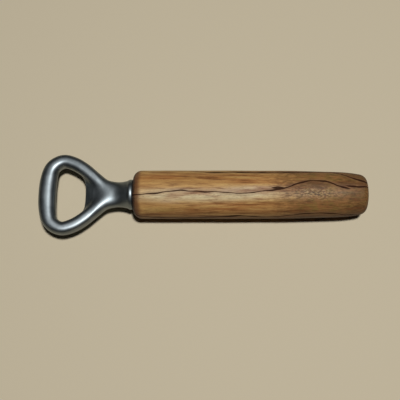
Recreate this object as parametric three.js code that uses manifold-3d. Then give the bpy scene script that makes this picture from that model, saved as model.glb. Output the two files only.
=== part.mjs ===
// Bottle opener with a turned wooden handle.
//
// A cast metal head (ring, recessed web with the pry lip, neck and collar) is held by a
// steel stud in a brass insert, and the insert is glued into the handle's blind bore.
//
// Millimetres. The opener lies on its handle: +X runs from the head to the handle's end,
// +Z is up, and the origin is below the middle of the whole opener, on the table.
// Every part is drawn on its own axis with x = 0 at the joint between head and handle.

import * as THREE from 'three';
import { mergeVertices } from 'three/addons/utils/BufferGeometryUtils.js';
import Module from 'manifold-3d';

// Overall
const OVERALL_LENGTH = 166.6;
const HEAD_LENGTH = 48;
const GAP = 0.3;
const AXIS_HEIGHT = 12.25;
const JOINT_X = HEAD_LENGTH - OVERALL_LENGTH / 2;

// Opener head: the ring is one bar bent round the cap opening
const RING_STEPS = 76;
const RING_SIDES = 14;
const BAR_THICKNESS = 7.6;
const CROSSBAR_WIDTH = 8.9;
const SIDE_BAR_WIDTH = 6.7;
const RING_HALF_WIDTH = 20.9;
const WEB_HALF_WIDTH = 11;
const WEB_ROOT_X = -14.5;
const WEB_UNDERSIDE = -2.5;
const LIP_X = -24.2;
const LIP_CORNER_X = -25;
const LIP_TOP = 0;

// Opener head: neck and collar
const NECK_SIDES = 36;
const COLLAR_RADIUS = 7.65;
const COLLAR_WIDTH = 1.3;
const COLLAR_CHAMFER = 0.3;
const NECK_HALF_WIDTH = 6.45;
const NECK_HALF_HEIGHT = 4;

// Stud, an M6 x 1 rod
const STUD_RADIUS = 2.95;
const THREAD_PITCH = 1;
const THREAD_DEPTH = 0.55;
const STUD_IN_HEAD = 6;
const STUD_IN_INSERT = 16;
const STUD_SIDES = 20;

// Threaded insert
const INSERT_RADIUS = 5.2;
const INSERT_LENGTH = 18.5;
const INSERT_SIDES = 24;
const GLUE_GROOVES = 5;
const GLUE_GROOVE_WIDTH = 1.2;
const GLUE_GROOVE_DEPTH = 0.5;
const STUD_BORE_RADIUS = STUD_RADIUS + GAP;

// Handle
const HANDLE_SIDES = 28;
const HANDLE_LENGTH = OVERALL_LENGTH - HEAD_LENGTH;
const HANDLE_RADIUS = AXIS_HEIGHT;
const FRONT_FACE_RADIUS = 8;
const FRONT_ROUND = 4.4;
const STRAIGHT_END = 62;
const TAPER_END = 105;
const TAPER_END_RADIUS = 11.45;
const REAR_ROUND_START = 115.4;
const REAR_ROUND_RADIUS = 10.2;
const REAR_FACE_RADIUS = 6.8;
const REAR_DOME = 0.4;
const BORE_RADIUS = INSERT_RADIUS + GAP;
const BORE_DEPTH = 23;
const DRILL_POINT = 3;

const wasm = await Module();
wasm.setup();

// Turns a closed three.js geometry into a solid that can be joined and cut.
function toSolid(geometry) {
  const bare = geometry.clone();
  bare.deleteAttribute('normal');
  bare.deleteAttribute('uv');
  const merged = mergeVertices(bare);
  const mesh = new wasm.Mesh({
    numProp: 3,
    vertProperties: merged.attributes.position.array,
    triVerts: new Uint32Array(merged.index.array),
  });
  return new wasm.Manifold(mesh);
}

function toGeometry(solid) {
  const mesh = solid.getMesh();
  const geometry = new THREE.BufferGeometry();
  geometry.setAttribute('position', new THREE.BufferAttribute(mesh.vertProperties, 3));
  geometry.setIndex(new THREE.BufferAttribute(mesh.triVerts, 1));
  geometry.computeVertexNormals();
  return geometry;
}

// Lathes a profile of (radius, x) points about the X axis, with a flat facet facing down.
function latheAboutX(points, sides) {
  const geometry = new THREE.LatheGeometry(points, sides, Math.PI / sides, 2 * Math.PI);
  geometry.rotateZ(-Math.PI / 2);
  return geometry;
}

// The ring's bar, from its root in the neck round the +Y side to the crossbar.
// Each station holds the bar's centre and its width there.
function ringStations() {
  const apexY = RING_HALF_WIDTH - SIDE_BAR_WIDTH / 2;
  const crossbarX = -HEAD_LENGTH + CROSSBAR_WIDTH / 2;
  return [
    { x: -12.4, y: 0, width: 6.4 },
    { x: -15.8, y: 5, width: 6.9 },
    { x: -20.3, y: 9.1, width: SIDE_BAR_WIDTH },
    { x: -24.9, y: 13.05, width: SIDE_BAR_WIDTH },
    { x: -30.3, y: apexY - 1.3, width: SIDE_BAR_WIDTH },
    { x: -36.1, y: apexY, width: SIDE_BAR_WIDTH },
    { x: -41.4, y: 14.2, width: 7.6 },
    { x: -43.2, y: 7.6, width: 8.6 },
    { x: crossbarX, y: 0, width: CROSSBAR_WIDTH },
  ];
}

// A torus whose centre circle is bent onto the ring's centre line, and whose round
// section becomes an ellipse as wide as the bar.
function ringGeometry() {
  const upper = ringStations();
  const lower = upper.slice(1, -1).reverse();
  const centres = upper.map((s) => new THREE.Vector3(s.x, s.y, 0));
  const widths = upper.map((s) => new THREE.Vector3(s.width, 0, 0));
  for (const s of lower) {
    centres.push(new THREE.Vector3(s.x, -s.y, 0));
    widths.push(new THREE.Vector3(s.width, 0, 0));
  }
  const centreLine = new THREE.CatmullRomCurve3(centres, true);
  const widthCurve = new THREE.CatmullRomCurve3(widths, true, 'catmullrom');

  const torusRadius = 2;
  const geometry = new THREE.TorusGeometry(torusRadius, 1, RING_SIDES, RING_STEPS);
  const position = geometry.attributes.position;
  for (let i = 0; i < position.count; i += 1) {
    const angle = Math.atan2(position.getY(i), position.getX(i));
    const along = (angle / (2 * Math.PI) + 1) % 1;
    const outward = Math.hypot(position.getX(i), position.getY(i)) - torusRadius;
    const centre = centreLine.getPoint(along);
    const tangent = centreLine.getTangent(along);
    const offset = (outward * widthCurve.getPoint(along).x) / 2;
    position.setXYZ(
      i,
      centre.x + tangent.y * offset,
      centre.y - tangent.x * offset,
      (position.getZ(i) * BAR_THICKNESS) / 2,
    );
  }
  return geometry;
}

// The wedge between the side bars: thin at the pry lip, as thick as the bars at its root,
// and trimmed to the triangle the bars enclose. The lip's edge is slightly hollow.
function webSolid() {
  const rootTop = BAR_THICKNESS / 2 - 0.2;
  const side = new THREE.Shape();
  side.moveTo(LIP_CORNER_X - 1, WEB_UNDERSIDE);
  side.lineTo(WEB_ROOT_X, -rootTop);
  side.lineTo(WEB_ROOT_X, rootTop);
  side.lineTo(LIP_X, LIP_TOP);
  side.lineTo(LIP_CORNER_X - 1, LIP_TOP);
  const wedge = new THREE.ExtrudeGeometry(side, { depth: 2 * WEB_HALF_WIDTH, bevelEnabled: false });
  wedge.rotateX(Math.PI / 2);
  wedge.translate(0, WEB_HALF_WIDTH, 0);

  const outline = new THREE.Shape();
  outline.moveTo(LIP_CORNER_X, -WEB_HALF_WIDTH);
  outline.lineTo(-19, -8.2);
  outline.lineTo(WEB_ROOT_X, -4.2);
  outline.lineTo(WEB_ROOT_X, 4.2);
  outline.lineTo(-19, 8.2);
  outline.lineTo(LIP_CORNER_X, WEB_HALF_WIDTH);
  outline.quadraticCurveTo(2 * LIP_X - LIP_CORNER_X, 0, LIP_CORNER_X, -WEB_HALF_WIDTH);
  const plan = new THREE.ExtrudeGeometry(outline, {
    depth: 2 * BAR_THICKNESS,
    bevelEnabled: false,
    curveSegments: 10,
  });
  plan.translate(0, 0, -BAR_THICKNESS);
  return toSolid(wedge).intersect(toSolid(plan));
}

// The neck widens from the ring's root to the round collar. It is an oval that is flatter
// than it is wide near the ring: each station holds x, half the width and half the height.
function neckGeometry() {
  const stations = [
    [-12.5, 6.9, NECK_HALF_HEIGHT - 0.35],
    [-10.8, 6.95, NECK_HALF_HEIGHT - 0.2],
    [-9.2, 6.6, NECK_HALF_HEIGHT],
    [-7.7, NECK_HALF_WIDTH, 4.4],
    [-6.2, 6.5, 5.05],
    [-4.7, 6.65, 6],
    [-3.3, 6.9, 6.65],
    [-2.2, 7.25, 7.2],
    [-COLLAR_WIDTH, COLLAR_RADIUS, COLLAR_RADIUS],
    [-COLLAR_CHAMFER, COLLAR_RADIUS, COLLAR_RADIUS],
    [0, COLLAR_RADIUS - COLLAR_CHAMFER, COLLAR_RADIUS - COLLAR_CHAMFER],
  ];
  const profile = stations.map(([x, halfWidth]) => new THREE.Vector2(halfWidth, x));
  profile.unshift(new THREE.Vector2(0, stations[0][0]));
  profile.push(new THREE.Vector2(0, 0));
  const geometry = latheAboutX(profile, NECK_SIDES);

  const flatten = new Map(stations.map(([x, halfWidth, halfHeight]) => [x, halfHeight / halfWidth]));
  const position = geometry.attributes.position;
  const stationX = stations.map(([x]) => x);
  for (let i = 0; i < position.count; i += 1) {
    const nearest = stationX.reduce((best, x) =>
      (Math.abs(x - position.getX(i)) < Math.abs(best - position.getX(i)) ? x : best));
    position.setZ(i, position.getZ(i) * flatten.get(nearest));
  }
  return geometry;
}

function openerHeadGeometry() {
  const hole = new THREE.CylinderGeometry(
    STUD_BORE_RADIUS,
    STUD_BORE_RADIUS,
    2 * (STUD_IN_HEAD + GAP),
    STUD_SIDES,
  );
  hole.rotateZ(-Math.PI / 2);
  const casting = toSolid(ringGeometry()).add(webSolid()).add(toSolid(neckGeometry()));
  return toGeometry(casting.subtract(toSolid(hole)));
}

// The stud's thread is drawn as rings one pitch apart, with pointed ends.
function studGeometry() {
  const length = STUD_IN_HEAD + STUD_IN_INSERT;
  const root = STUD_RADIUS - THREAD_DEPTH;
  const profile = [new THREE.Vector2(0, -STUD_IN_HEAD), new THREE.Vector2(root, -STUD_IN_HEAD)];
  const turns = Math.floor(length / THREAD_PITCH) - 1;
  for (let turn = 0; turn < turns; turn += 1) {
    const x = -STUD_IN_HEAD + THREAD_PITCH * (turn + 0.75);
    profile.push(new THREE.Vector2(root, x - THREAD_PITCH / 4));
    profile.push(new THREE.Vector2(STUD_RADIUS, x + THREAD_PITCH / 4));
  }
  profile.push(new THREE.Vector2(root, STUD_IN_INSERT));
  profile.push(new THREE.Vector2(0, STUD_IN_INSERT));
  return latheAboutX(profile, STUD_SIDES);
}

// The insert is a blind brass bush with square glue grooves turned round the outside.
function insertGeometry() {
  const front = 2 * GAP;
  const back = front + INSERT_LENGTH;
  const boreEnd = STUD_IN_INSERT + GAP;
  const grooveRadius = INSERT_RADIUS - GLUE_GROOVE_DEPTH;
  const groovePitch = INSERT_LENGTH / (GLUE_GROOVES + 1);
  const profile = [
    new THREE.Vector2(0, boreEnd),
    new THREE.Vector2(STUD_BORE_RADIUS, boreEnd),
    new THREE.Vector2(STUD_BORE_RADIUS, front),
    new THREE.Vector2(INSERT_RADIUS, front),
  ];
  for (let groove = 1; groove <= GLUE_GROOVES; groove += 1) {
    const start = front + groove * groovePitch - GLUE_GROOVE_WIDTH / 2;
    const end = start + GLUE_GROOVE_WIDTH;
    profile.push(new THREE.Vector2(INSERT_RADIUS, start));
    profile.push(new THREE.Vector2(grooveRadius, start));
    profile.push(new THREE.Vector2(grooveRadius, end));
    profile.push(new THREE.Vector2(INSERT_RADIUS, end));
  }
  profile.push(new THREE.Vector2(INSERT_RADIUS, back));
  profile.push(new THREE.Vector2(0, back));
  return latheAboutX(profile, INSERT_SIDES);
}

// The handle is straight behind its rounded front, tapers a little and ends in a soft dome.
function handleGeometry() {
  const cornerRadius = HANDLE_RADIUS / Math.cos(Math.PI / HANDLE_SIDES);
  const outline = new THREE.Path();
  outline.moveTo(0, BORE_DEPTH + DRILL_POINT);
  outline.lineTo(BORE_RADIUS, BORE_DEPTH);
  outline.lineTo(BORE_RADIUS, GAP);
  outline.lineTo(FRONT_FACE_RADIUS, GAP);
  outline.absellipse(
    FRONT_FACE_RADIUS,
    GAP + FRONT_ROUND,
    cornerRadius - FRONT_FACE_RADIUS,
    FRONT_ROUND,
    -Math.PI / 2,
    0,
    false,
  );
  outline.lineTo(cornerRadius, STRAIGHT_END);
  outline.quadraticCurveTo(cornerRadius, (STRAIGHT_END + TAPER_END) / 2, TAPER_END_RADIUS, TAPER_END);
  outline.quadraticCurveTo(
    TAPER_END_RADIUS - 0.3,
    (TAPER_END + REAR_ROUND_START) / 2,
    REAR_ROUND_RADIUS,
    REAR_ROUND_START,
  );
  outline.quadraticCurveTo(
    REAR_ROUND_RADIUS - 0.9,
    HANDLE_LENGTH - REAR_DOME - 0.2,
    REAR_FACE_RADIUS,
    HANDLE_LENGTH - REAR_DOME,
  );
  outline.lineTo(0, HANDLE_LENGTH);
  const curvePoints = 6;
  return latheAboutX(outline.getPoints(curvePoints), HANDLE_SIDES);
}

function platedMetal() {
  return new THREE.MeshStandardMaterial({ color: 0x9da5a8, roughness: 0.3, metalness: 1 });
}

function zincPlatedSteel() {
  return new THREE.MeshStandardMaterial({ color: 0xa9acad, roughness: 0.4, metalness: 1 });
}

function brass() {
  return new THREE.MeshStandardMaterial({ color: 0xc9a35a, roughness: 0.35, metalness: 1 });
}

function oiledWood() {
  return new THREE.MeshStandardMaterial({ color: 0xa67c4b, roughness: 0.45, metalness: 0 });
}

function namedMesh(name, geometry, material) {
  const mesh = new THREE.Mesh(geometry, material);
  mesh.name = name;
  return mesh;
}

const opener = new THREE.Group();
opener.add(namedMesh('opener_head', openerHeadGeometry(), platedMetal()));
opener.add(namedMesh('threaded_stud', studGeometry(), zincPlatedSteel()));
opener.add(namedMesh('threaded_insert', insertGeometry(), brass()));
opener.add(namedMesh('wooden_handle', handleGeometry(), oiledWood()));
opener.position.set(JOINT_X, 0, AXIS_HEIGHT);

export default opener;
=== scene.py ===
"""Bottle opener with a turned, spalted-wood handle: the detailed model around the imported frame.

The head is a casting, so it is grown from one smooth field: a bar bent round the cap opening,
a thin web with the pry lip, and a neck that flares into a round collar. The handle is turned
from a profile, with the dark zone lines of its spalting cut in as shallow grooves. Lengths below
are in millimetres unless a name ends in _M, and x = 0 is the joint between head and handle.
"""

import math
from types import SimpleNamespace

import bpy
import numpy as np
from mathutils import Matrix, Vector


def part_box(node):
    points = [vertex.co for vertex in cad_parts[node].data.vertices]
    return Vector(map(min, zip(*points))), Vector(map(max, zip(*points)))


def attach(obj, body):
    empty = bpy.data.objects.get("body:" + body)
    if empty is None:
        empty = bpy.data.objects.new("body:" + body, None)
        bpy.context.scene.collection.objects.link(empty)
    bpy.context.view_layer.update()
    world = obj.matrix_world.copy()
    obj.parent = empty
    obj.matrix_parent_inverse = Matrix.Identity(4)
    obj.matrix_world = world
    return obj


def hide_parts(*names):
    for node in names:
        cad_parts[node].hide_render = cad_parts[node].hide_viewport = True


MM = 0.001

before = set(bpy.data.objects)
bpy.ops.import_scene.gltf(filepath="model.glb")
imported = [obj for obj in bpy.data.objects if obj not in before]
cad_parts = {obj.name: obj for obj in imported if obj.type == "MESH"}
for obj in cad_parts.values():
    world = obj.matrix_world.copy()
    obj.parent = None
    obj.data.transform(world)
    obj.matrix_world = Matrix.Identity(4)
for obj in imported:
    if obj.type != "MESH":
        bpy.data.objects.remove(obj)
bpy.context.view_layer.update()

HEAD_LOW, HEAD_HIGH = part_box("opener_head")
HANDLE_LOW, HANDLE_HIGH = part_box("wooden_handle")
JOINT_X_M = HEAD_HIGH.x
AXIS_Z_M = (HANDLE_LOW.z + HANDLE_HIGH.z) / 2


# ---------------------------------------------------------------- general helpers


def smooth_loop(stations, samples, rounding):
    """A closed curve through the stations (rows of numbers), resampled and gently rounded."""
    points = np.array(stations, float)
    count = len(points)
    along = np.arange(samples) * count / samples
    index = along.astype(int)
    t = (along - index)[:, None]
    p0, p1, p2, p3 = (points[(index + k) % count] for k in (-1, 0, 1, 2))
    curve = 0.5 * (
        2 * p1
        + (p2 - p0) * t
        + (2 * p0 - 5 * p1 + 4 * p2 - p3) * t**2
        + (3 * p1 - p0 - 3 * p2 + p3) * t**3
    )
    steps = np.linalg.norm(np.roll(curve, -1, 0)[:, :2] - curve[:, :2], axis=1)
    reach = np.concatenate([[0], np.cumsum(steps)])
    even = np.linspace(0, reach[-1], samples, endpoint=False)
    closed = np.vstack([curve, curve[:1]])
    curve = np.column_stack([np.interp(even, reach, closed[:, c]) for c in range(closed.shape[1])])
    offsets = np.fft.fftfreq(samples) * reach[-1]
    kernel = np.exp(-0.5 * (offsets / rounding) ** 2)
    spectrum = np.fft.fft(kernel / kernel.sum())[:, None]
    return np.real(np.fft.ifft(np.fft.fft(curve, axis=0) * spectrum, axis=0))


def smooth_through(stations, at):
    """Values at the given places on a soft curve through rows of (place, value, ...)."""
    rows = np.array(stations, float)
    place = rows[:, 0]
    slopes = np.gradient(rows[:, 1:], place, axis=0)
    at = np.clip(at, place[0], place[-1])
    index = np.clip(np.searchsorted(place, at) - 1, 0, len(place) - 2)
    width = (place[index + 1] - place[index])[:, None]
    t = (at - place[index])[:, None] / width
    low, high = rows[index, 1:], rows[index + 1, 1:]
    return (
        low * (1 + 2 * t) * (1 - t) ** 2
        + high * t**2 * (3 - 2 * t)
        + slopes[index] * width * t * (1 - t) ** 2
        - slopes[index + 1] * width * t**2 * (1 - t)
    )


def smooth_min(a, b, radius):
    """Joins two distance fields with a fillet."""
    share = np.clip(0.5 + 0.5 * (b - a) / radius, 0, 1)
    return b + (a - b) * share - radius * share * (1 - share)


def smooth_max(a, b, radius):
    """Intersects two distance fields with a rounded edge."""
    return -smooth_min(-a, -b, radius)


def surface_nets(field, origin, step):
    """Points and quads of the surface where a sampled field crosses zero."""
    inside = field < 0
    corners = [(i, j, k) for i in (0, 1) for j in (0, 1) for k in (0, 1)]
    shape = np.array(field.shape) - 1

    def shifted(values, corner):
        i, j, k = corner
        return values[i : i + shape[0], j : j + shape[1], k : k + shape[2]]

    filled = sum(shifted(inside, c).astype(np.int8) for c in corners)
    cells = np.argwhere((filled > 0) & (filled < 8))
    number = np.full(shape, -1)
    number[tuple(cells.T)] = np.arange(len(cells))

    total = np.zeros((len(cells), 3))
    crossings = np.zeros(len(cells))
    for a in corners:
        for axis in range(3):
            if a[axis]:
                continue
            b = tuple(v + (n == axis) for n, v in enumerate(a))
            low = field[tuple((cells + a).T)]
            high = field[tuple((cells + b).T)]
            crosses = (low < 0) != (high < 0)
            share = np.where(crosses, low / np.where(crosses, low - high, 1), 0)
            point = np.array(a, float) + share[:, None] * (np.array(b) - a)
            total += point * crosses[:, None]
            crossings += crosses
    points = origin + (cells + total / crossings[:, None]) * step

    quads = []
    for axis in range(3):
        u, v = (axis + 1) % 3, (axis + 2) % 3
        ahead = [slice(1, -1)] * 3
        ahead[axis] = slice(0, -1)
        beyond = list(ahead)
        beyond[axis] = slice(1, None)
        low, high = inside[tuple(ahead)], inside[tuple(beyond)]
        for flip, edges in ((False, low & ~high), (True, high & ~low)):
            at = np.argwhere(edges)
            at[:, [u, v]] += 1
            ring = []
            for du, dv in ((-1, -1), (0, -1), (0, 0), (-1, 0)):
                cell = at.copy()
                cell[:, u] += du
                cell[:, v] += dv
                ring.append(number[tuple(cell.T)])
            quads.append(np.column_stack(ring[::-1] if flip else ring))
    return points, np.vstack(quads)


def relaxed(points, quads, share, rounds):
    """Moves each point towards the middle of its neighbours, as far as its share (0 to 1) allows."""
    start = np.concatenate([quads[:, n] for n in range(4)] + [quads[:, (n + 1) % 4] for n in range(4)])
    end = np.concatenate([quads[:, (n + 1) % 4] for n in range(4)] + [quads[:, n] for n in range(4)])
    neighbours = np.bincount(start, minlength=len(points))[:, None]
    for _ in range(rounds):
        middle = np.column_stack(
            [np.bincount(start, points[end, n], minlength=len(points)) for n in range(3)]
        )
        points = points + 0.5 * share[:, None] * (middle / neighbours - points)
    return points


def make_piece(name, points, faces, material):
    """A smooth-shaded mesh object from points in metres, in the row frame."""
    mesh = bpy.data.meshes.new(name)
    mesh.from_pydata([tuple(p) for p in points], [], [tuple(f) for f in faces])
    mesh.update()
    mesh.shade_smooth()
    mesh.materials.append(material)
    piece = bpy.data.objects.new(name, mesh)
    bpy.context.scene.collection.objects.link(piece)
    return piece


def store(piece, name, values):
    """Keeps one row of up to three numbers per vertex, for the material to read."""
    rows = np.zeros((len(values), 3), np.float32)
    rows[:, : values.shape[1]] = values
    attribute = piece.data.attributes.new(name, "FLOAT_VECTOR", "POINT")
    attribute.data.foreach_set("vector", rows.ravel())


def to_row_frame(points):
    """From millimetres about the handle's axis to metres in the row frame."""
    return np.asarray(points) * MM + np.array([JOINT_X_M, 0, AXIS_Z_M])


# ---------------------------------------------------------------- opener head: shape

HEAD_LENGTH = (HEAD_HIGH.x - HEAD_LOW.x) / MM
HEAD_HALF_WIDTH = (HEAD_HIGH.y - HEAD_LOW.y) / MM / 2
BAR_THICKNESS = 7.6
CROSSBAR_HALF_WIDTH = 4.45
SIDE_BAR_HALF_WIDTH = 3.35
RING_SAMPLES = 640
RING_ROUNDING = 0.8
RING_CHUNK = 4096
LIP_MIDDLE_X = -24.2
LIP_HOLLOW = 0.8
LIP_HALF_LENGTH = 9.0
LIP_EDGE = 0.6
LIP_TOP_Z = -0.1
LIP_BOTTOM_Z = -2.5
RAMP_SLOPE = math.tan(math.radians(28))
WEB_LENGTH = 9.0
WEB_BELOW_CREST = 0.8
WEB_FILLET = 2.2
NECK_FILLET = 1.6
COLLAR_RADIUS = 7.65
COLLAR_EDGE = 0.3
STUD_HOLE_RADIUS = 3.25
STUD_HOLE_DEPTH = 6.3
FIELD_STEP = 0.3
FIELD_MARGIN = 1.2

# Where the bars run into the neck, the surface is relaxed until no ridge is left.
CROTCH_X = -14.2
CROTCH_REACH = 5.2
CROTCH_HALF_WIDTH = 8.5
CROTCH_ROUNDS = 90


def ring_loop():
    """The bar's centre line and section: rows of x, y, half width, half thickness and squareness."""
    crossbar, side = CROSSBAR_HALF_WIDTH, SIDE_BAR_HALF_WIDTH
    thick = BAR_THICKNESS / 2
    apex_y = HEAD_HALF_WIDTH - side
    upper = [
        (-12.4, 0.0, 3.4, 0.70 * thick, 2.4),
        (-15.8, 5.0, 3.45, 0.92 * thick, 2.5),
        (-20.3, 9.1, side, thick, 2.65),
        (-24.9, 13.05, side, thick, 2.65),
        (-30.3, apex_y - 1.3, side, thick, 2.65),
        (-36.1, apex_y, side, thick, 2.55),
        (-41.4, 14.2, 3.8, thick, 2.4),
        (-43.2, 7.6, 4.3, thick, 2.25),
        (crossbar - HEAD_LENGTH, 0.0, crossbar, thick, 2.25),
    ]
    lower = [(x, -y, *section) for x, y, *section in upper[-2:0:-1]]
    return smooth_loop(upper + lower, RING_SAMPLES, RING_ROUNDING)


RING = ring_loop()
RING_AHEAD = np.roll(RING[:, :2], -1, 0) - np.roll(RING[:, :2], 1, 0)
RING_AHEAD /= np.linalg.norm(RING_AHEAD, axis=1)[:, None]
RING_OUTWARD = np.column_stack([RING_AHEAD[:, 1], -RING_AHEAD[:, 0]])


def across_bar(xy):
    """How far each point lies outside the bar's centre line, and the bar's section there."""
    across = np.empty(len(xy))
    section = np.empty((len(xy), 3))
    for start in range(0, len(xy), RING_CHUNK):
        rows = slice(start, start + RING_CHUNK)
        part = xy[rows]
        apart = part[:, None, :] - RING[None, :, :2]
        nearest = (apart**2).sum(2).argmin(1)
        offset = part - RING[nearest, :2]
        across[rows] = (offset * RING_OUTWARD[nearest]).sum(1)
        section[rows] = RING[nearest, 2:]
    return across, *section.T


NECK = [
    # x, half width, half height, how square the section is (2 is an oval)
    (-19.5, 4.0, 1.20, 3.0),
    (-18.0, 5.0, 2.10, 3.0),
    (-16.5, 5.8, 2.90, 3.0),
    (-15.0, 6.4, 3.42, 3.0),
    (-13.5, 6.8, 3.72, 3.0),
    (-12.0, 6.95, 3.82, 2.9),
    (-10.5, 6.88, 3.90, 2.6),
    (-9.0, 6.65, 4.10, 2.3),
    (-7.6, 6.45, 4.48, 2.1),
    (-6.2, 6.48, 5.05, 2.0),
    (-4.9, 6.6, 5.75, 2.0),
    (-3.7, 6.80, 6.42, 2.0),
    (-2.7, 7.05, 6.90, 2.0),
    (-2.1, 7.38, 7.36, 2.0),
    (-1.5, 7.62, 7.62, 2.0),
    (-1.0, COLLAR_RADIUS, COLLAR_RADIUS, 2.0),
    (-0.4, 7.58, 7.58, 2.0),
    (0.2, 7.49, 7.49, 2.0),
    (1.0, 7.36, 7.36, 2.0),
]


def rounded_section(aside, up, half_width, half_height, power):
    """A field for a rounded bar section, anything from an oval (power 2) towards a box."""
    norm = (np.abs(aside / half_width) ** power + np.abs(up / half_height) ** power) ** (1 / power)
    return (norm - 1) * np.minimum(half_width, half_height)


def head_field(points, bar_place=None):
    """Below zero inside the casting, about the distance in millimetres near its surface."""
    x, y, z = points.T
    across, half, deep, squareness = bar_place or across_bar(points[:, :2])
    thick = BAR_THICKNESS / 2
    bar = rounded_section(across, z, half, deep, squareness)

    lip = LIP_MIDDLE_X - LIP_HOLLOW * (y / LIP_HALF_LENGTH) ** 2 - x
    ramp = LIP_TOP_Z + (x - LIP_MIDDLE_X) * RAMP_SLOPE
    top = smooth_min(ramp, deep - WEB_BELOW_CREST, WEB_FILLET)
    bottom = LIP_BOTTOM_Z - (x - LIP_MIDDLE_X) * (thick + LIP_BOTTOM_Z) / WEB_LENGTH
    plate = np.maximum((z - top) * math.cos(math.atan(RAMP_SLOPE)), bottom - z)
    web = np.maximum(smooth_max(plate, lip, LIP_EDGE), across)

    neck = rounded_section(y, z, *smooth_through(NECK, x).T)
    neck = np.maximum(neck, NECK[0][0] - x)

    casting = smooth_min(smooth_min(bar, web, WEB_FILLET), neck, NECK_FILLET)
    casting = smooth_max(casting, x, COLLAR_EDGE)
    hole = np.maximum(np.hypot(y, z) - STUD_HOLE_RADIUS, -STUD_HOLE_DEPTH - x)
    return np.maximum(casting, -hole)


def head_gradient(points, reach=0.02):
    """How steeply the head's field rises along each axis."""
    slope = np.empty_like(points)
    for axis in range(3):
        step = np.zeros(3)
        step[axis] = reach
        slope[:, axis] = (head_field(points + step) - head_field(points - step)) / (2 * reach)
    return slope


def head_mesh():
    """The casting's surface: sampled on a grid, drawn onto the exact field, then relaxed."""
    low = np.array([-HEAD_LENGTH, -HEAD_HALF_WIDTH, -COLLAR_RADIUS]) - FIELD_MARGIN
    high = np.array([0, HEAD_HALF_WIDTH, COLLAR_RADIUS]) + FIELD_MARGIN
    counts = np.ceil((high - low) / FIELD_STEP).astype(int) + 1
    axes = [low[n] + np.arange(counts[n]) * FIELD_STEP for n in range(3)]
    plan = np.stack(np.meshgrid(*axes[:2], indexing="ij"), -1).reshape(-1, 2)
    bar_place = tuple(np.repeat(value, counts[2]) for value in across_bar(plan))
    grid = np.stack(np.meshgrid(*axes, indexing="ij"), -1).reshape(-1, 3)
    field = head_field(grid, bar_place).reshape(counts)
    points, quads = surface_nets(field, low, FIELD_STEP)
    flattest, longest_step = 0.05, 0.1
    for _ in range(2):
        slope = head_gradient(points)
        steepness = np.maximum((slope**2).sum(1), flattest)
        step = np.clip(head_field(points) / steepness, -longest_step, longest_step)
        points -= slope * step[:, None]
    off_x = (points[:, 0] - CROTCH_X) / CROTCH_REACH
    off_y = points[:, 1] / CROTCH_HALF_WIDTH
    crotch = np.exp(-(off_x**4) - off_y**4)
    return relaxed(points, quads, crotch, CROTCH_ROUNDS), quads


# ---------------------------------------------------------------- handle: shape

HANDLE_LENGTH = (HANDLE_HIGH.x - JOINT_X_M) / MM
HANDLE_RADIUS = (HANDLE_HIGH.z - HANDLE_LOW.z) / MM / 2
JOINT_GAP = 0.3
BORE_RADIUS = 5.5
BORE_DEPTH = 23.0
DRILL_POINT = 3.0
HANDLE_SIDES = 240
FRONT_FACE_RADIUS = 8.0
FRONT_ROUND = 4.4

# Along the outline, counted forwards from the rear end, and how much smaller the radius is there.
TAPER_START = 57.2
TAPER_END = 14.2
TAPER_DROP = 0.8
REAR_ROUND_START = 3.2
REAR_ROUND_DROP = 2.05
REAR_FACE_START = 0.45
REAR_FACE_RADIUS = 7.0

# The turned surface sits this far inside the CAD's, so that its unevenness stays in the same box.
SURFACE_INSET = 0.04
GROOVE_DEPTH = 0.09
GROOVE_REACH = 0.35
GROOVE_FULL_WIDTH = 0.3

# Painted shade: the sides are darker than the top. Degrees off the top where that starts and how fast it
# grows, and where and how fast it fades again towards the underside.
FLANK_START = 52
FLANK_GROWTH = 34
FLANK_FADE_START = 100
FLANK_FADE = 40

# Dark zone lines of the spalting: distance along the handle, degrees from the top towards +Y,
# and half the line's width. A negative width ends the line.
ZONE_LINES = {
    "main": [
        (0, -18, 0.25), (20, -7, 0.25), (60, -10, 0.2), (72, -3, 0.35), (90, 20, 0.35), (96, 20, 0.35),
        (106, 1, 0.35), (111, -1, -0.4),
    ],
    "fork": [(68, 1, -0.4), (70, 1, 0.2), (74, 2, 0.3), (76, 4, -0.3)],
    "branch": [(105, 9, -0.4), (107, 8, 0.35), (112, 6, 0.3), (117, 9, 0.4), (120, 10, 0.4)],
    "upper": [
        (25, 62, -0.4), (35, 53, 0.3), (55, 51, 0.55), (80, 52, 0.45), (103, 53, 0.3), (110, 33, 0.55),
        (120, 20, 0.3),
    ],
    "lower": [
        (0, -72, 0.2), (8, -81, 0.3), (35, -85, 0.4), (50, -76, 0.6), (70, -82, 0.3), (90, -66, 0.3),
        (100, -70, 0.3), (112, -84, 0.2), (117, -88, -0.4),
    ],
    "back": [
        (0, 170, 0.3), (20, 148, 0.3), (45, 140, 0.35), (70, 170, 0.4), (92, 150, 0.3), (120, 175, 0.3),
    ],
    "under": [
        (0, 212, 0.25), (26, 235, 0.3), (50, 218, 0.3), (80, 247, 0.35), (105, 220, 0.25), (120, 205, 0.25),
    ],
}

# How the lines wander to the side, as degrees and wavelength in mm, and how their width swells,
# as a share and a wavelength. The wander dies out before the rear face.
LINE_WANDER = [(0.9, 21.0), (0.5, 8.0)]
LINE_SWELL = (0.3, 12.0)
WANDER_FADE = 12.0

# The two lines across the rear face: degrees of the line's upper end, how far it passes beside the
# middle at the rim, its bow, and how low it starts.
REAR_LINE_NAMES = ("rear_a", "rear_b")
REAR_LINE_HALF_WIDTH = 0.26
LINE_ENDED = -1.0
REAR_FACE_LINES = [(2.2, 0.6, 1.6, -20.0), (25.0, -0.5, 3.6, -3.2)]
REAR_FACE_REACH = 10.0
REAR_FACE_DEPTH = 1.6


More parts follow.
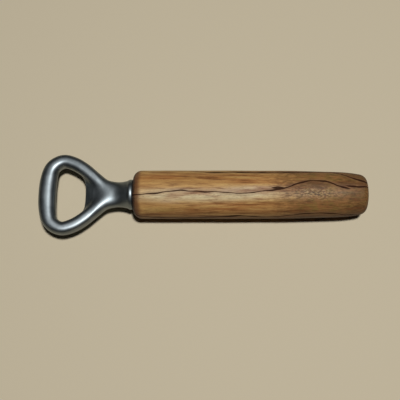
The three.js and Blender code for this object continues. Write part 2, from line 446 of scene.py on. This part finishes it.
def bent(start, pull, end, count):
    """Points on a quadratic curve, without the last one."""
    t = np.arange(count)[:, None] / count
    start, pull, end = (np.array(p, float) for p in (start, pull, end))
    return (1 - t) ** 2 * start + 2 * t * (1 - t) * pull + t**2 * end


def handle_outline():
    """Rows of distance along the handle and radius, from the bore's tip out to the rear middle."""
    full, face, front = HANDLE_RADIUS, FRONT_FACE_RADIUS, FRONT_ROUND
    turn = np.linspace(0, math.pi / 2, 18, endpoint=False)
    front_round = np.column_stack(
        [JOINT_GAP + front * (1 - np.cos(turn)), face + (full - face) * np.sin(turn)]
    )
    straight_end = HANDLE_LENGTH - TAPER_START
    taper_end = HANDLE_LENGTH - TAPER_END
    taper_radius = full - TAPER_DROP
    round_start = (HANDLE_LENGTH - REAR_ROUND_START, full - REAR_ROUND_DROP)
    rear_face = (HANDLE_LENGTH - REAR_FACE_START, REAR_FACE_RADIUS)
    face_rows = bent((JOINT_GAP, BORE_RADIUS), (JOINT_GAP, 6.7), (JOINT_GAP, face), 5)
    outside = [
        face_rows,
        front_round,
        bent((JOINT_GAP + front, full), (34, full), (straight_end, full), 140),
        bent((straight_end, full), (straight_end + 21.5, full), (taper_end, taper_radius), 104),
        bent((taper_end, taper_radius), (taper_end + 6.0, full - 1.1), round_start, 28),
        bent(round_start, (HANDLE_LENGTH - 0.7, full - 2.95), rear_face, 22),
        bent(rear_face, (HANDLE_LENGTH, 3.0), (HANDLE_LENGTH, 0.0), 14),
    ]
    softened = np.vstack(outside)
    round_end = len(face_rows) + len(front_round)
    for _ in range(4):
        beside = (softened[round_end - 1 : -2] + softened[round_end + 1 :]) / 4
        softened[round_end:-1] = beside + softened[round_end:-1] / 2
    mouth, bottom = (JOINT_GAP, BORE_RADIUS), (BORE_DEPTH, BORE_RADIUS)
    bore = bent(bottom, (BORE_DEPTH / 2, BORE_RADIUS), mouth, 12)
    tip = bent((BORE_DEPTH + DRILL_POINT, 0.0), (BORE_DEPTH + 1.5, BORE_RADIUS / 2), bottom, 4)
    return np.vstack([tip, bore, softened])


def line_offsets(along, degrees, radius, stations):
    """Signed distance round the handle from a zone line, and the line's half width."""
    centre, half = smooth_through(stations, along).T
    own_start = stations[0][1]
    fade = np.clip((HANDLE_LENGTH - along) / WANDER_FADE, 0, 1)
    for reach, wavelength in LINE_WANDER:
        centre = centre + fade * reach * np.sin(2 * math.pi * along / wavelength + own_start)
    share, wavelength = LINE_SWELL
    half = half * (1 + share * np.sin(2 * math.pi * along / wavelength + 2 * own_start))
    apart = (degrees - centre + 180) % 360 - 180
    return np.column_stack([np.radians(apart) * radius, half])


def rear_face_offsets(along, y, z):
    """The same for the two lines that cross the rear face and join the side lines."""
    rows = []
    for degrees, aside_at_rim, bow, start in REAR_FACE_LINES:
        turn = math.radians(degrees)
        up = y * math.sin(turn) + z * math.cos(turn)
        aside = y * math.cos(turn) - z * math.sin(turn)
        curve = aside_at_rim + bow * (1 - (up / REAR_FACE_REACH) ** 2)
        drawn = (along > HANDLE_LENGTH - REAR_FACE_DEPTH) & (up > start)
        half = np.where(drawn, REAR_LINE_HALF_WIDTH, LINE_ENDED)
        rows.append(np.column_stack([aside - curve, half]))
    return rows


def patch(along, degrees, at, angle, length, spread):
    """A soft spot on the handle: 1 in the middle, fading over length (mm) and spread (degrees)."""
    turn = (degrees - angle + 180) % 360 - 180
    return np.exp(-(((along - at) / length) ** 2) - (turn / spread) ** 2)


def patches(along, degrees, spots):
    """The spots of one colour together, never more than 1."""
    return np.clip(sum(amount * patch(along, degrees, *spot) for amount, *spot in spots), 0, 1)


# Soft patches of colour: amount, distance along, degrees, length and spread.
PALE_SPOTS = [
    (1.0, 15, -20, 15, 12), (1.0, 40, -20, 15, 12), (0.9, 60, -15, 15, 12), (0.6, 60, 0, 12, 6),
    (0.5, 90, 10, 8, 8), (0.4, 20, -5, 15, 5), (0.7, 30, 130, 20, 18), (0.7, 80, 185, 20, 20),
]
RED_SPOTS = [
    (1.0, 45, -45, 12, 10), (0.7, 10, 30, 15, 10), (0.7, 65, -40, 12, 8), (0.7, 60, 20, 15, 12),
    (0.6, 95, -45, 10, 12), (0.5, 100, 35, 10, 12), (0.7, 20, 195, 18, 16), (0.7, 70, 120, 16, 14),
]
OLIVE_SPOTS = [
    (0.9, 90, 15, 8, 6), (0.8, 95, -65, 15, 10), (0.6, 80, -30, 5, 5), (0.6, 15, -55, 12, 8),
    (0.4, 65, -35, 12, 6), (1.0, 113, 60, 7, 16), (0.6, 113, -60, 6, 18), (0.5, 45, 165, 18, 10),
]
LILAC_SPOTS = [
    (0.8, 25, -5, 8, 5), (0.9, 50, -5, 15, 6), (0.9, 65, 0, 8, 6), (0.5, 20, -30, 6, 5),
    (0.5, 80, -20, 8, 8),
]
FIGURE_SPOTS = [(1.0, 90, -12, 13, 14), (0.4, 40, -15, 12, 6), (0.6, 40, 200, 16, 18)]


def all_line_offsets(along, angle, radius):
    """Offsets from each zone line, by name. The side lines stop where the rear face starts."""
    degrees = np.degrees(angle)
    lines = {name: line_offsets(along, degrees, radius, rows) for name, rows in ZONE_LINES.items()}
    for offsets in lines.values():
        offsets[along > HANDLE_LENGTH - REAR_FACE_DEPTH, 1] = LINE_ENDED
    y, z = radius * np.sin(angle), radius * np.cos(angle)
    lines.update(zip(REAR_LINE_NAMES, rear_face_offsets(along, y, z)))
    return lines


def surface_relief(along, angle, lines):
    """Height over the turned profile: slight hand-sanded unevenness, and a groove at each line."""
    uneven = 0.035 * np.sin(along * 0.21 + 0.8) * np.cos(angle * 2 + 0.4)
    uneven += 0.03 * np.sin(along * 0.09 + 2.0 + 3 * np.sin(angle))
    relief = uneven * np.clip((along - 4) / 8, 0, 1) * np.clip((HANDLE_LENGTH - along) / 8, 0, 1)
    for offsets in lines.values():
        share = np.clip(offsets[:, 1] / GROOVE_FULL_WIDTH, 0, 1)
        relief -= GROOVE_DEPTH * share * np.exp(-((offsets[:, 0] / GROOVE_REACH) ** 2))
    return relief


def turned_faces(rings, count):
    """Quads between neighbouring rings, and a fan of triangles that closes either end."""
    start = (np.arange(rings - 1) * count)[:, None]
    here, after = np.arange(count), (np.arange(count) + 1) % count
    quads = np.stack([start + here, start + after, start + count + after, start + count + here], -1)
    tip, rear = rings * count, rings * count + 1
    last = (rings - 1) * count
    faces = [tuple(q) for q in quads.reshape(-1, 4).tolist()]
    faces += [(tip, b, a) for a, b in zip(here.tolist(), after.tolist())]
    faces += [(last + a, last + b, rear) for a, b in zip(here.tolist(), after.tolist())]
    return faces


def flank_shade_amount(degrees):
    """How much painted shade darkens the wood: 0 on the top, 1 at the sides and a half underneath."""
    off_top = np.abs((degrees + 180) % 360 - 180)
    growth = np.clip((off_top - FLANK_START) / FLANK_GROWTH, 0, 1)
    return growth * (1 - 0.5 * np.clip((off_top - FLANK_FADE_START) / FLANK_FADE, 0, 1))


def build_handle(material):
    """The turned handle with its bore, and what the wood reads at each of its vertices."""
    outline = handle_outline()
    rings, count = len(outline) - 1, HANDLE_SIDES
    turn = np.arange(count) * 2 * math.pi / count
    along = np.concatenate([np.repeat(outline[1:, 0], count), [outline[0, 0], HANDLE_LENGTH]])
    radius = np.concatenate([np.repeat(outline[1:, 1], count), [0, 0]])
    angle = np.concatenate([np.tile(turn, rings), [0, 0]])
    degrees = np.degrees(angle)

    lines = all_line_offsets(along, angle, radius)
    outside = (radius > BORE_RADIUS + 1) | (along > BORE_DEPTH + DRILL_POINT + 1)
    relief = surface_relief(along, angle, lines) - SURFACE_INSET
    radius = radius + np.where(outside & (radius > 1), relief, 0)
    points = np.column_stack([along, radius * np.sin(angle), radius * np.cos(angle)])

    piece = make_piece("turned_handle", to_row_frame(points), turned_faces(rings, count), material)
    for name, offsets in lines.items():
        store(piece, "line_" + name, offsets)
    pale, red, olive, lilac, figure = (
        patches(along, degrees, spots)
        for spots in (PALE_SPOTS, RED_SPOTS, OLIVE_SPOTS, LILAC_SPOTS, FIGURE_SPOTS)
    )
    store(piece, "tints", np.column_stack([pale, red, olive]))
    # Painted shade for the sides, kept for the wood's material to read.
    store(piece, "flank", flank_shade_amount(degrees)[:, None])
    store(piece, "more_tints", np.column_stack([lilac, figure, along / HANDLE_LENGTH]))
    return piece


# ---------------------------------------------------------------- materials


def linear(red, green, blue):
    """A colour given as 0-255 screen values, as the shader's linear colour."""
    values = [c / 255 for c in (red, green, blue)]
    return tuple(c / 12.92 if c <= 0.04045 else ((c + 0.055) / 1.055) ** 2.4 for c in values) + (1.0,)


class Nodes:
    """Short forms for building one material's node tree."""

    def __init__(self, name):
        self.material = bpy.data.materials.new(name)
        self.material.use_nodes = True
        self.tree = self.material.node_tree
        self.shader = self.tree.nodes["Principled BSDF"]
        coordinates = self.tree.nodes.new("ShaderNodeTexCoord")
        self.place = coordinates.outputs["Object"]

    def link(self, source, target):
        self.tree.links.new(source, target)

    def feed(self, socket, value):
        if isinstance(value, bpy.types.NodeSocket):
            self.link(value, socket)
        else:
            socket.default_value = value

    def stretched(self, x, y, z):
        """The object's coordinates times these scales, per millimetre."""
        node = self.tree.nodes.new("ShaderNodeMapping")
        self.link(self.place, node.inputs["Vector"])
        node.inputs["Scale"].default_value = (x / MM, y / MM, z / MM)
        return node.outputs["Vector"]

    def noise(self, vector, scale=1.0, detail=3.0, roughness=0.5, distortion=0.0):
        node = self.tree.nodes.new("ShaderNodeTexNoise")
        self.link(vector, node.inputs["Vector"])
        node.inputs["Scale"].default_value = scale
        node.inputs["Detail"].default_value = detail
        node.inputs["Roughness"].default_value = roughness
        node.inputs["Distortion"].default_value = distortion
        return node.outputs["Fac"]

    def stored(self, name):
        """The three numbers kept at each vertex under this name."""
        node = self.tree.nodes.new("ShaderNodeAttribute")
        node.attribute_name = name
        return self.split(node.outputs["Vector"])

    def split(self, vector):
        node = self.tree.nodes.new("ShaderNodeSeparateXYZ")
        self.link(vector, node.inputs["Vector"])
        return node.outputs["X"], node.outputs["Y"], node.outputs["Z"]

    def ramp(self, value, low, high, to_low=0.0, to_high=1.0, smooth=True):
        """value mapped from low..high to to_low..to_high, held past either end."""
        node = self.tree.nodes.new("ShaderNodeMapRange")
        node.interpolation_type = "SMOOTHSTEP" if smooth else "LINEAR"
        self.link(value, node.inputs["Value"])
        sockets = ("From Min", "From Max", "To Min", "To Max")
        for socket, number in zip(sockets, (low, high, to_low, to_high)):
            node.inputs[socket].default_value = number
        return node.outputs["Result"]

    def math(self, operation, a, b=0.0):
        node = self.tree.nodes.new("ShaderNodeMath")
        node.operation = operation
        self.feed(node.inputs[0], a)
        self.feed(node.inputs[1], b)
        return node.outputs[0]

    def mix(self, share, a, b, blend="MIX"):
        node = self.tree.nodes.new("ShaderNodeMix")
        node.data_type = "RGBA"
        node.blend_type = blend
        self.feed(node.inputs["Factor"], share)
        self.feed(node.inputs["A"], a)
        self.feed(node.inputs["B"], b)
        return node.outputs["Result"]

    def bump(self, height, strength, depth_mm, below=None):
        node = self.tree.nodes.new("ShaderNodeBump")
        node.inputs["Strength"].default_value = strength
        node.inputs["Distance"].default_value = depth_mm * MM
        self.link(height, node.inputs["Height"])
        if below is not None:
            self.link(below, node.inputs["Normal"])
        return node.outputs["Normal"]


def satin_metal():
    """Tumbled and plated casting: soft grey with faint smudges and a fine pitted grain."""
    n = Nodes("satin_plated_casting")
    smudge = n.noise(n.stretched(0.16, 0.16, 0.16), detail=4.0, roughness=0.55)
    grain = n.noise(n.stretched(3.2, 3.2, 3.2), detail=2.0)
    pits = n.noise(n.stretched(1.1, 1.1, 1.1), detail=3.0, roughness=0.65)
    tone = n.mix(n.ramp(smudge, 0.35, 0.65), linear(116, 123, 126), linear(130, 137, 140))
    tone = n.mix(n.ramp(pits, 0.62, 0.78, 0.0, 0.35), tone, linear(88, 92, 94))
    n.link(tone, n.shader.inputs["Base Color"])
    rough = n.ramp(smudge, 0.3, 0.7, 0.42, 0.46)
    n.link(n.math("ADD", rough, n.ramp(grain, 0.4, 0.7, -0.02, 0.04)), n.shader.inputs["Roughness"])
    n.shader.inputs["Metallic"].default_value = 1.0
    fine = n.bump(grain, 0.12, 0.03)
    n.link(n.bump(n.ramp(pits, 0.55, 0.8), 0.15, 0.05, fine), n.shader.inputs["Normal"])
    return n.material


def wood_fields(n):
    """The noise and the stored tints that the layers of the wood share."""
    wood = SimpleNamespace()
    wood.broad = n.noise(n.stretched(0.022, 0.33, 0.33), detail=3.0, roughness=0.55, distortion=0.4)
    wood.calm = n.noise(n.stretched(0.045, 0.22, 0.22), detail=2.0)
    wood.streak = n.noise(n.stretched(0.06, 0.75, 0.75), detail=4.0, roughness=0.62, distortion=0.3)
    wood.fine = n.noise(n.stretched(0.18, 3.4, 3.4), detail=3.0, roughness=0.6)
    wood.dashes = n.noise(n.stretched(0.22, 1.9, 1.9), detail=2.0, roughness=0.5)
    wood.mottle = n.noise(n.stretched(0.28, 0.55, 0.55), detail=3.0, roughness=0.6)
    wood.flecks = n.noise(n.stretched(0.75, 2.1, 2.1), detail=2.0, roughness=0.5)
    wood.pores = n.noise(n.stretched(0.5, 7.0, 7.0), detail=1.0)
    wood.pale, wood.red, wood.olive = n.stored("tints")
    wood.lilac, wood.figure, wood.along = n.stored("more_tints")
    wood.rear = n.math("ADD", wood.along, n.ramp(wood.mottle, 0.3, 0.7, -0.05, 0.05))
    wood.lively = n.ramp(wood.calm, 0.38, 0.60, 0.25, 1.0)
    return wood


def ground_color(n, wood):
    """Two tans in broad bands, with the bleached, red, olive and lilac patches."""
    color = n.mix(n.ramp(wood.broad, 0.36, 0.64), linear(162, 119, 66), linear(188, 147, 88))
    tints = [
        # where, the noise that breaks it up, the ramp over that noise, colour
        (wood.pale, wood.broad, (0.2, 0.6, 0.55, 1.0), linear(196, 178, 138)),
        (wood.red, wood.streak, (0.3, 0.6, 0.3, 0.95), linear(150, 88, 42)),
        (wood.olive, wood.mottle, (0.3, 0.6, 0.3, 0.95), linear(118, 94, 40)),
        (wood.lilac, wood.mottle, (0.35, 0.6, 0.2, 0.85), linear(184, 156, 128)),
    ]
    for where, noise, span, tint in tints:
        color = n.mix(n.math("MULTIPLY", where, n.ramp(noise, *span)), color, tint)
    return color


def rear_shade_and_stains(n, wood, color):
    """A browner rear third, mostly painted shade of light falling off towards the rear end, with olive and
    dark stains.
    """
    # Painted shade: browner towards the rear.
    color = n.mix(n.ramp(wood.rear, 0.55, 0.70, 0.0, 0.72), color, linear(120, 80, 44))
    olive = n.math("MULTIPLY", n.ramp(wood.rear, 0.62, 0.76, 0.0, 0.85), n.ramp(wood.mottle, 0.44, 0.60))
    color = n.mix(olive, color, linear(124, 98, 48))
    dark = n.math("MULTIPLY", n.ramp(wood.rear, 0.62, 0.76, 0.0, 0.75), n.ramp(wood.calm, 0.52, 0.66))
    color = n.mix(dark, color, linear(84, 54, 28))
    # Painted shade: darkest at the rear end.
    return n.mix(n.ramp(wood.rear, 0.82, 0.98, 0.0, 0.55), color, linear(86, 60, 30))


def streaks(n, wood, color):
    """Brown blotches, dark streaks that are fewer in the bleached wood, and light streaks."""
    blotch = n.math("MULTIPLY", n.ramp(wood.calm, 0.54, 0.64), n.ramp(wood.rear, 0.75, 0.6, 0.0, 0.45))
    color = n.mix(blotch, color, linear(140, 84, 44))
    dark = n.math("MULTIPLY", wood.lively, n.ramp(wood.streak, 0.48, 0.66, 0.0, 0.9))
    bleached = n.math("MULTIPLY", n.math("MAXIMUM", wood.pale, wood.lilac), 0.55)
    dark = n.math("MULTIPLY", dark, n.math("SUBTRACT", 1.0, bleached))
    color = n.mix(dark, color, linear(106, 64, 30))
    light = n.math("MULTIPLY", n.ramp(wood.rear, 0.75, 0.55), n.ramp(wood.streak, 0.46, 0.30, 0.0, 0.5))
    return n.mix(light, color, linear(190, 157, 98))


def fine_grain(n, wood, color):
    """Hair-fine grain, stronger towards the rear, and short dark dashes."""
    color = n.mix(n.ramp(wood.fine, 0.48, 0.70, 0.0, 0.5), color, linear(98, 60, 30))
    in_rear = n.ramp(wood.rear, 0.58, 0.72)
    dark = n.math("MULTIPLY", in_rear, n.ramp(wood.fine, 0.50, 0.62, 0.0, 0.6))
    color = n.mix(dark, color, linear(66, 42, 22))
    light = n.math("MULTIPLY", in_rear, n.ramp(wood.fine, 0.46, 0.34, 0.0, 0.4))
    color = n.mix(light, color, linear(152, 112, 66))
    dash = n.math("MULTIPLY", wood.lively, n.ramp(wood.dashes, 0.60, 0.70, 0.0, 0.6))
    return n.mix(dash, color, linear(92, 54, 28))


def figure_and_pores(n, wood, color):
    """Dark and light flecks in the figured spots, and pores everywhere."""
    dark = n.math("MULTIPLY", wood.figure, n.ramp(wood.flecks, 0.53, 0.60, 0.0, 0.95))
    color = n.mix(dark, color, linear(62, 44, 30))
    light = n.math("MULTIPLY", wood.figure, n.ramp(wood.flecks, 0.47, 0.39, 0.0, 0.65))
    color = n.mix(light, color, linear(176, 148, 108))
    return n.mix(n.ramp(wood.pores, 0.64, 0.74, 0.0, 0.55), color, linear(64, 40, 22))


def painted_shade_sides_and_front(n, wood, color):
    """Painted shade on the flanks and on the front round-over, which is also browned end grain."""
    flank, _, _ = n.stored("flank")
    # Painted shade darkening the flanks.
    color = n.mix(n.math("MULTIPLY", flank, 0.62), color, linear(78, 47, 20))
    along_mm = n.math("MULTIPLY", wood.along, HANDLE_LENGTH)
    edge = n.math("ADD", along_mm, n.ramp(wood.streak, 0.3, 0.7, -0.5, 0.5))
    # Browned band at the front: partly oil-darkened end grain, partly painted shade where the round-over
    # turns from the light.
    color = n.mix(n.ramp(edge, 5.2, 2.6, 0.0, 0.80), color, linear(86, 50, 32))
    # Dark rim at the very front: painted shade where the wood turns away from the light and meets the
    # collar.
    return n.mix(n.ramp(edge, 2.2, 0.9, 0.0, 0.85), color, linear(48, 30, 20))


def zone_line_cover(n):
    """Where the dark zone lines lie, and the stained wood beside them."""
    uneven = n.noise(n.stretched(0.22, 0.8, 0.8), detail=3.0)
    ragged = n.ramp(uneven, 0.25, 0.75, -0.16, 0.16, smooth=False)
    core = halo = None
    for name in (*ZONE_LINES, *REAR_LINE_NAMES):
        aside, half, _ = n.stored("line_" + name)
        distance = n.math("ABSOLUTE", n.math("ADD", aside, ragged))
        past = n.math("SUBTRACT", distance, half)
        here = n.ramp(past, 0.16, -0.06)
        near = n.math("MULTIPLY", n.ramp(past, 1.5, 0.0), n.ramp(half, -0.2, 0.1))
        core = here if core is None else n.math("MAXIMUM", core, here)
        halo = near if halo is None else n.math("MAXIMUM", halo, near)
    return core, halo


def spalted_wood():
    """Oiled spalted hardwood: streaked tan and brown grain, bleached zones and dark zone lines."""
    n = Nodes("oiled_spalted_wood")
    wood = wood_fields(n)
    color = ground_color(n, wood)
    for layer in (rear_shade_and_stains, streaks, fine_grain, figure_and_pores, painted_shade_sides_and_front):
        color = layer(n, wood, color)
    core, halo = zone_line_cover(n)
    color = n.mix(n.math("MULTIPLY", halo, 0.34), color, linear(112, 78, 54))
    color = n.mix(n.math("MULTIPLY", core, 0.92), color, linear(40, 20, 12))
    n.link(color, n.shader.inputs["Base Color"])

    oiled = n.ramp(wood.streak, 0.3, 0.7, 0.52, 0.64)
    n.link(n.math("ADD", oiled, n.math("MULTIPLY", core, 0.12)), n.shader.inputs["Roughness"])
    n.link(n.ramp(core, 0.0, 1.0, 0.3, 0.05, smooth=False), n.shader.inputs["Specular IOR Level"])
    open_pores = n.ramp(wood.pores, 0.60, 0.74, 0.0, -1.0)
    grain = n.bump(n.math("ADD", wood.fine, open_pores), 0.35, 0.05)
    n.link(n.bump(core, 0.5, -0.06, grain), n.shader.inputs["Normal"])
    return n.material


def turned_metal(name, dull, bright, tool_marks):
    """Lathe-cut hardware: fine rings along its length under a slightly mottled finish."""
    n = Nodes(name)
    cloud = n.noise(n.stretched(0.35, 0.35, 0.35), detail=3.0)
    rings = n.noise(n.stretched(tool_marks, 0.05, 0.05), detail=2.0)
    wear = n.noise(n.stretched(0.9, 0.9, 0.9), detail=4.0, roughness=0.65)
    tone = n.mix(n.ramp(cloud, 0.35, 0.65), dull, bright)
    tone = n.mix(n.ramp(wear, 0.58, 0.72, 0.0, 0.5), tone, dull)
    n.link(tone, n.shader.inputs["Base Color"])
    rough = n.math("ADD", n.ramp(cloud, 0.3, 0.7, 0.28, 0.4), n.ramp(wear, 0.5, 0.7, 0.0, 0.08))
    n.link(rough, n.shader.inputs["Roughness"])
    n.shader.inputs["Metallic"].default_value = 1.0
    n.link(n.bump(rings, 0.3, 0.03), n.shader.inputs["Normal"])
    return n.material


def finish_node(node, material):
    """Gives a CAD node that stays in view its detailed material."""
    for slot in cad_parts[node].material_slots:
        slot.material = material


# ---------------------------------------------------------------- build

head_points, head_quads = head_mesh()
head = make_piece("cast_head", to_row_frame(head_points), head_quads, satin_metal())
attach(head, "root")
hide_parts("opener_head")

handle = build_handle(spalted_wood())
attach(handle, "root")
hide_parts("wooden_handle")

zinc = turned_metal("zinc_plated_steel", linear(120, 124, 124), linear(168, 172, 170), tool_marks=2.4)
finish_node("threaded_stud", zinc)
brass = turned_metal("cut_brass", linear(150, 112, 52), linear(205, 168, 92), tool_marks=1.8)
finish_node("threaded_insert", brass)


# ---------------------------------------------------------------- floor, light, camera

FLOOR_REACH_M = 3.0
LAMP_PLACE_M = (0.11, -0.04, 1.2)
LAMP_SIZE_M = 0.1
LAMP_WATTS = 13.8
SURROUNDINGS_STRENGTH = 0.008
CAMERA_ELEVATION = math.radians(75)
CAMERA_DISTANCE_M = 0.366
CAMERA_LENS = 64.8
AIM_BEHIND_JOINT_M = 0.034
AIM_LOWERED_M = 0.0027


def plain_floor():
    """A wide, pale, matt sheet under the opener."""
    material = Nodes("pale_floor")
    material.shader.inputs["Base Color"].default_value = linear(190, 178, 152)
    material.shader.inputs["Roughness"].default_value = 0.8
    mesh = bpy.data.meshes.new("floor")
    reach = FLOOR_REACH_M
    corners = [(-reach, -reach, 0), (reach, -reach, 0), (reach, reach, 0), (-reach, reach, 0)]
    mesh.from_pydata(corners, [], [(0, 1, 2, 3)])
    mesh.materials.append(material.material)
    floor = bpy.data.objects.new("floor", mesh)
    bpy.context.scene.collection.objects.link(floor)


def soft_box(name, place, size, power):
    """A square lamp at this place, aimed at the middle of the opener."""
    lamp = bpy.data.lights.new(name, "AREA")
    lamp.shape = "SQUARE"
    lamp.size = size
    lamp.energy = power
    holder = bpy.data.objects.new(name, lamp)
    holder.location = place
    holder.rotation_euler = holder.location.to_track_quat("Z", "Y").to_euler()
    bpy.context.scene.collection.objects.link(holder)


def surroundings(brightness):
    """A faint, even, cool light from all round."""
    world = bpy.data.worlds.new("studio")
    world.use_nodes = True
    world.node_tree.nodes["Background"].inputs["Color"].default_value = (0.9, 0.95, 1.0, 1.0)
    world.node_tree.nodes["Background"].inputs["Strength"].default_value = brightness
    bpy.context.scene.world = world


def camera():
    """Looks down from 75 degrees on the -Y side, square to the handle."""
    rise, run = math.sin(CAMERA_ELEVATION), math.cos(CAMERA_ELEVATION)
    up = Vector((0, rise, run))
    back = Vector((0, -run, rise))
    target = Vector((JOINT_X_M + AIM_BEHIND_JOINT_M, 0, AXIS_Z_M)) - up * AIM_LOWERED_M
    data = bpy.data.cameras.new("camera")
    data.sensor_width = 36
    data.lens = CAMERA_LENS
    data.clip_start = 0.01
    holder = bpy.data.objects.new("camera", data)
    holder.location = target + back * CAMERA_DISTANCE_M
    holder.rotation_euler = back.to_track_quat("Z", "Y").to_euler()
    bpy.context.scene.collection.objects.link(holder)
    bpy.context.scene.camera = holder


plain_floor()
soft_box("key_light", LAMP_PLACE_M, LAMP_SIZE_M, LAMP_WATTS)
surroundings(SURROUNDINGS_STRENGTH)
camera()
bpy.context.scene.view_settings.view_transform = "Standard"
